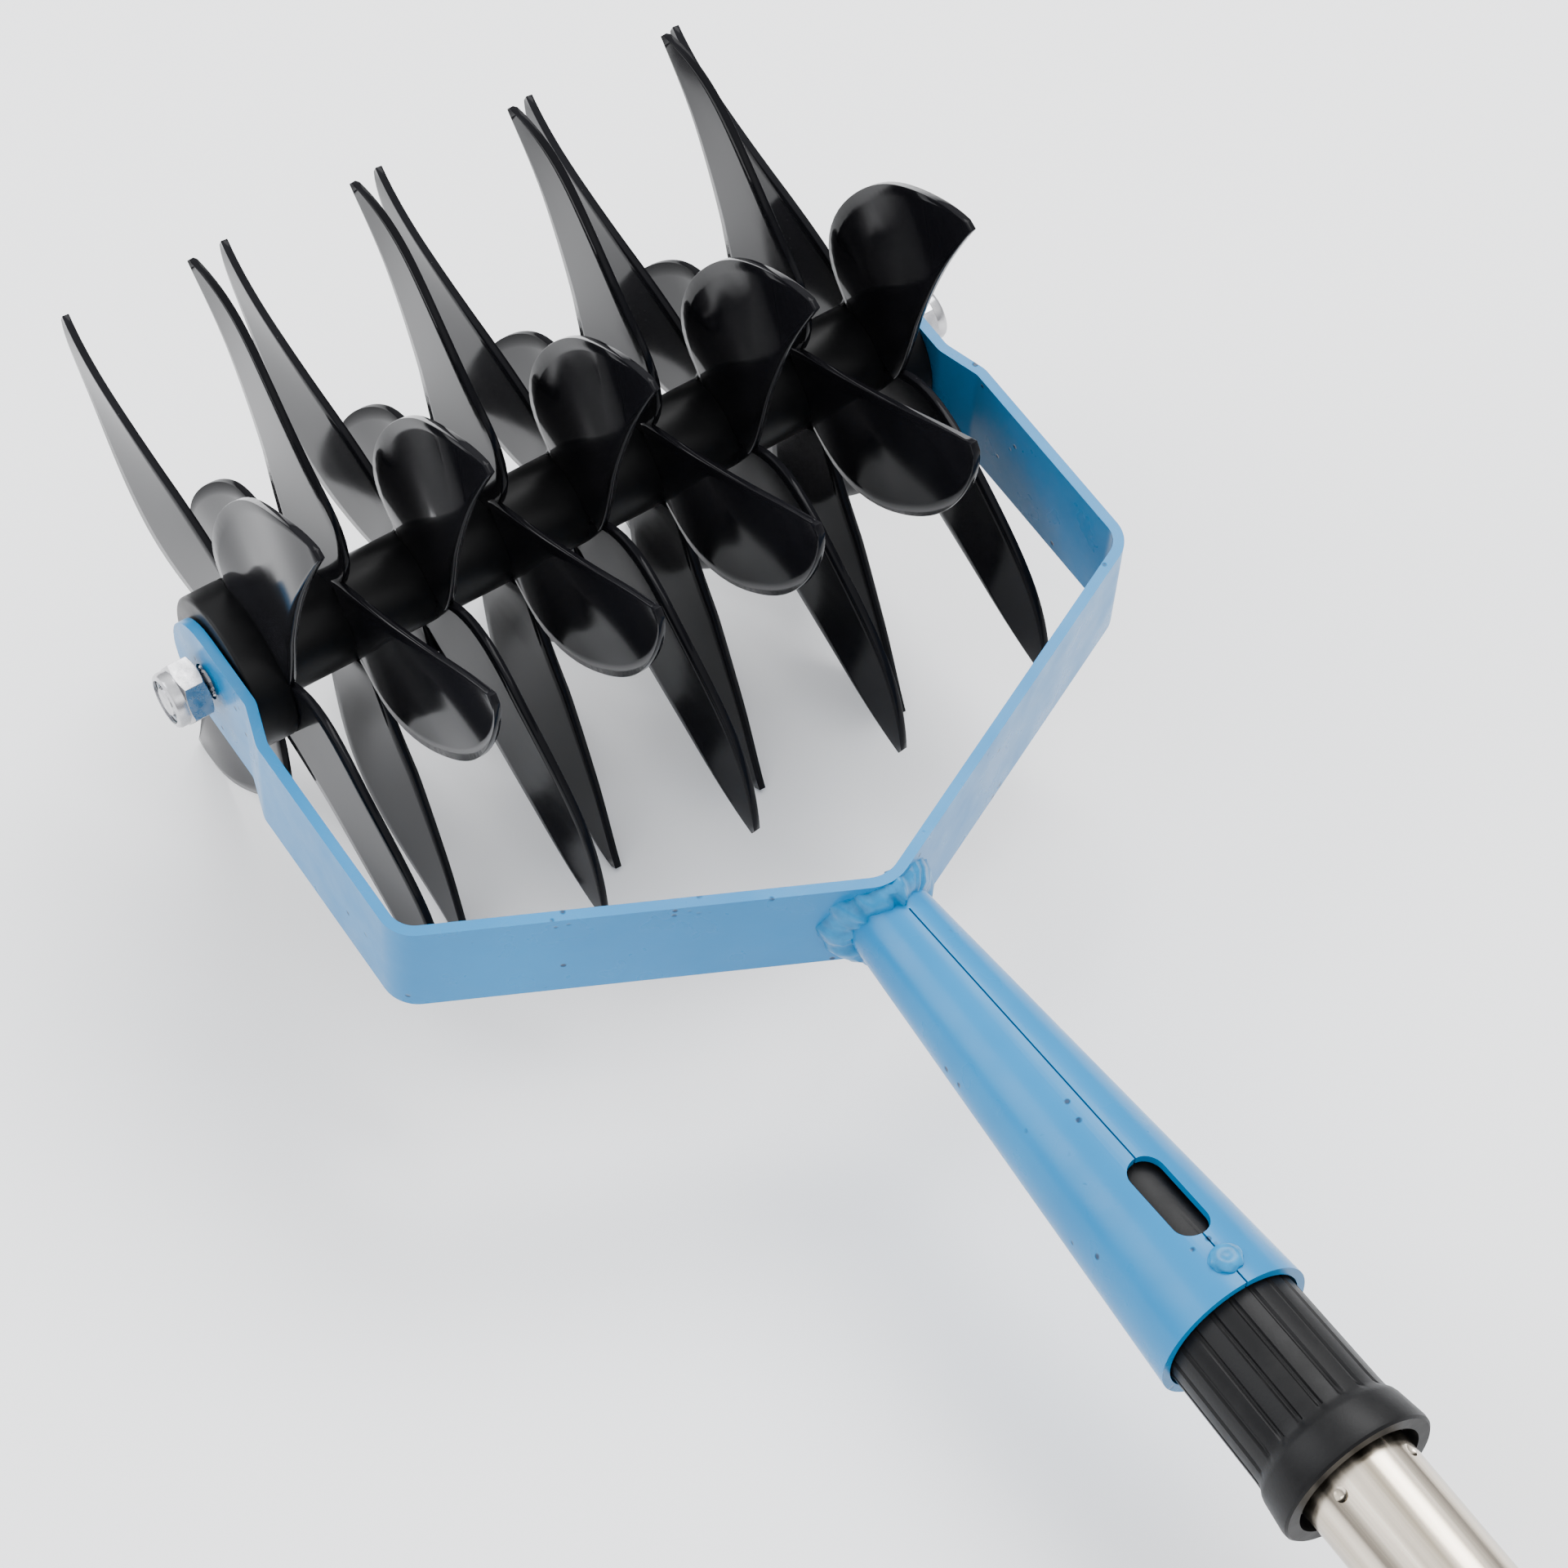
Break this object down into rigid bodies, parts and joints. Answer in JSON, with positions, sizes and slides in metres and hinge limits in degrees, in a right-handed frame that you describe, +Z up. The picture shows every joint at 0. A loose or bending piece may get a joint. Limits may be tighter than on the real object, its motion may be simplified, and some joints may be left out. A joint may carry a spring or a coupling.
{
  "type": "rotary tiller",
  "caption": "Long-handled rotary soil tiller: a rotor of curved black tines spins on an axle held by a blue bent-bar yoke welded to a handle socket.",
  "frame": {"origin": "middle of the underside of the bounding box, on the ground under the tool", "axes": "+X along the axle, +Y from the grip towards the tines, +Z up, with the tool lying on two rows of tines and the end of its grip"},
  "size_m": [0.1954, 1.0768, 0.1436],
  "materials": {
    "blue_paint": "gloss powder coat",
    "black_plastic": "glossy moulding",
    "zinc_steel": "bright zinc plate",
    "stainless_steel": "polished along its length",
    "dark_grey_plastic": "satin moulding",
    "nylon": "satin"
  },
  "bodies": {
    "frame": {"yoke_frame": "blue_paint", "handle_socket": "blue_paint", "socket_weld": "blue_paint", "seam_tack_weld": "blue_paint", "axle_rod": "zinc_steel", "lock_nut_left": "zinc_steel", "lock_nut_right": "zinc_steel", "lock_nut_left_insert": "nylon", "lock_nut_right_insert": "nylon", "handle_plug": "dark_grey_plastic", "tube_coupler": "dark_grey_plastic", "handle_grip": "dark_grey_plastic", "grip_end_cap": "dark_grey_plastic", "handle_tube_lower": "stainless_steel", "handle_tube_upper": "stainless_steel", "tube_joint_sleeve": "stainless_steel"},
    "rotor": {"end_spacer": "black_plastic", "tine_wheel_1": "black_plastic", "tine_wheel_2": "black_plastic", "tine_wheel_3": "black_plastic", "tine_wheel_4": "black_plastic", "tine_wheel_5": "black_plastic", "tine_wheel_6": "black_plastic", "tine_wheel_7": "black_plastic", "tine_wheel_8": "black_plastic", "tine_wheel_9": "black_plastic"}
  },
  "joints": [
    {"name": "rotor_spin", "type": "hinge", "parent": "frame", "child": "rotor", "pos_m": [0, 0.46656, 0.07182], "axis": [1, 0, 0], "continuous": true}
  ]
}
